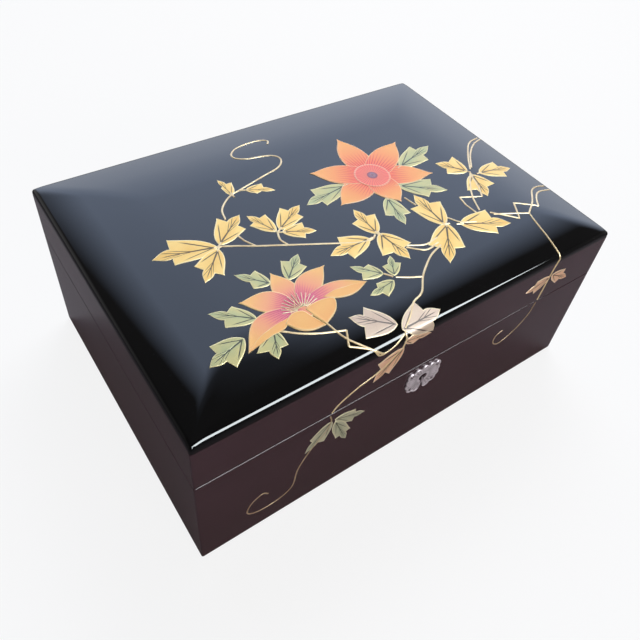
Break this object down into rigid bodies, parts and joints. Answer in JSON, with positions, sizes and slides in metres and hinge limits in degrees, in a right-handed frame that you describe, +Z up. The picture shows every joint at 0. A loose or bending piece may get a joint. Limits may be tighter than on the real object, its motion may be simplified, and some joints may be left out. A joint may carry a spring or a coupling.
{
  "type": "musical jewelry box",
  "caption": "Black lacquered jewelry box with a crowned hinged lid, mirror, lid-lifted tray, box lock and wind-up musical movement.",
  "frame": {"origin": "centre of the footprint on the table, under the closed box", "axes": "+X to the right along the long side, +Y towards the hinges, +Z up; the escutcheon faces -Y"},
  "size_m": [0.254, 0.1842, 0.1092],
  "materials": {
    "black_lacquer": "mirror-gloss black lacquer",
    "red_velvet": "short-pile velvet",
    "brass": "polished",
    "steel": "satin",
    "cast_metal": "sand-cast, matt",
    "silver": "antique silver plate",
    "mirror": "silvered glass",
    "clear_cover": "clear sheet",
    "plywood": "stained dark",
    "black_felt": "felt"
  },
  "bodies": {
    "case": {"front_board": "black_lacquer", "back_board": "black_lacquer", "left_board": "black_lacquer", "right_board": "black_lacquer", "bottom_panel": "plywood", "felt_pads": "black_felt", "case_lining": "red_velvet", "floor_lining": "red_velvet", "music_partitions": "red_velvet", "cover_ledges": "red_velvet", "music_cover": "clear_cover", "lower_divider": "red_velvet", "lock_body": "brass", "escutcheon": "silver", "escutcheon_pins": "silver", "hinge_leaves_case": "brass", "hinge_pins": "brass", "hinge_screws_case": "brass", "arm_screws": "brass", "movement_bed": "cast_metal", "movement_screws": "steel", "bearing_plates": "brass", "governor_frame": "brass", "comb_riser": "cast_metal", "comb": "steel", "comb_screws": "steel"},
    "lid": {"lid_front_rail": "black_lacquer", "lid_back_rail": "black_lacquer", "lid_left_rail": "black_lacquer", "lid_right_rail": "black_lacquer", "lid_top_panel": "black_lacquer", "lid_lining": "red_velvet", "mirror_glass": "mirror", "mirror_frame": "red_velvet", "hinge_leaves_lid": "brass", "hinge_screws_lid": "brass", "strike_plate": "brass", "strike_screws": "brass", "lid_brackets": "brass", "bracket_screws": "brass"},
    "tray": {"tray_frame": "red_velvet", "tray_floor": "red_velvet", "tray_lining": "red_velvet", "tray_dividers": "red_velvet", "ring_rolls": "red_velvet", "tray_pivots": "brass"},
    "rear_arms": {"rear_arms": "brass"},
    "front_arms": {"front_arms": "brass"},
    "lid_links": {"lid_links": "brass"},
    "lock_bolt": {"lock_bolt": "brass"},
    "stop_plunger": {"stop_plunger": "steel"},
    "winding_key": {"winding_key": "steel", "winding_arbor": "steel"},
    "cylinder": {"music_cylinder": "brass", "cylinder_arbor": "brass"},
    "barrel": {"spring_barrel": "brass", "mainspring": "steel"},
    "governor_wheel": {"governor_wheel": "brass"},
    "governor_fan": {"governor_fan": "steel"}
  },
  "joints": [
    {"name": "lid_hinge", "type": "hinge", "parent": "case", "child": "lid", "pos_m": [0, 0.0906, 0.0703], "axis": [-1, 0, 0], "range_deg": [0, 100]},
    {"name": "rear_arm_pivot", "type": "hinge", "parent": "case", "child": "rear_arms", "pos_m": [0, 0.057, 0.058], "axis": [-1, 0, 0], "range_deg": [0, 100]},
    {"name": "front_arm_pivot", "type": "hinge", "parent": "case", "child": "front_arms", "pos_m": [0, -0.005, 0.05], "axis": [-1, 0, 0], "range_deg": [0, 100]},
    {"name": "tray_pivot", "type": "hinge", "parent": "rear_arms", "child": "tray", "pos_m": [0, 0.012, 0.058], "axis": [-1, 0, 0], "range_deg": [-100, 0]},
    {"name": "link_pivot", "type": "hinge", "parent": "rear_arms", "child": "lid_links", "pos_m": [0, 0.032, 0.058], "axis": [-1, 0, 0], "range_deg": [-100, 0]},
    {"name": "stop_plunger_lift", "type": "slide", "parent": "case", "child": "stop_plunger", "axis": [0, 0, 1], "range_m": [0, 0.003]},
    {"name": "lock_bolt_slide", "type": "slide", "parent": "case", "child": "lock_bolt", "axis": [1, 0, 0], "range_m": [0, 0.0045]},
    {"name": "winding_key_turn", "type": "hinge", "parent": "case", "child": "winding_key", "pos_m": [-0.097, -0.053, 0.01], "axis": [0, 0, 1], "continuous": true},
    {"name": "cylinder_spin", "type": "hinge", "parent": "case", "child": "cylinder", "pos_m": [-0.073, -0.053, 0.03129], "axis": [1, 0, 0], "continuous": true},
    {"name": "barrel_spin", "type": "hinge", "parent": "case", "child": "barrel", "pos_m": [-0.097, -0.053, 0.024], "axis": [0, 0, 1], "continuous": true},
    {"name": "governor_wheel_spin", "type": "hinge", "parent": "case", "child": "governor_wheel", "pos_m": [-0.06, -0.0624, 0.02787], "axis": [1, 0, 0], "continuous": true},
    {"name": "governor_fan_spin", "type": "hinge", "parent": "case", "child": "governor_fan", "pos_m": [-0.0586, -0.06904, 0.03], "axis": [0, 0, 1], "continuous": true}
  ],
  "couplings": [
    {"joint": "rear_arm_pivot", "follows": "lid_hinge", "ratio": 1},
    {"joint": "front_arm_pivot", "follows": "lid_hinge", "ratio": 1},
    {"joint": "tray_pivot", "follows": "lid_hinge", "ratio": -1},
    {"joint": "link_pivot", "follows": "lid_hinge", "ratio": -1},
    {"joint": "stop_plunger_lift", "follows": "lid_hinge", "m_per_rad": 0.00171},
    {"joint": "barrel_spin", "follows": "cylinder_spin", "ratio": 0.33333},
    {"joint": "governor_wheel_spin", "follows": "cylinder_spin", "ratio": -4},
    {"joint": "governor_fan_spin", "follows": "cylinder_spin", "ratio": 48}
  ]
}
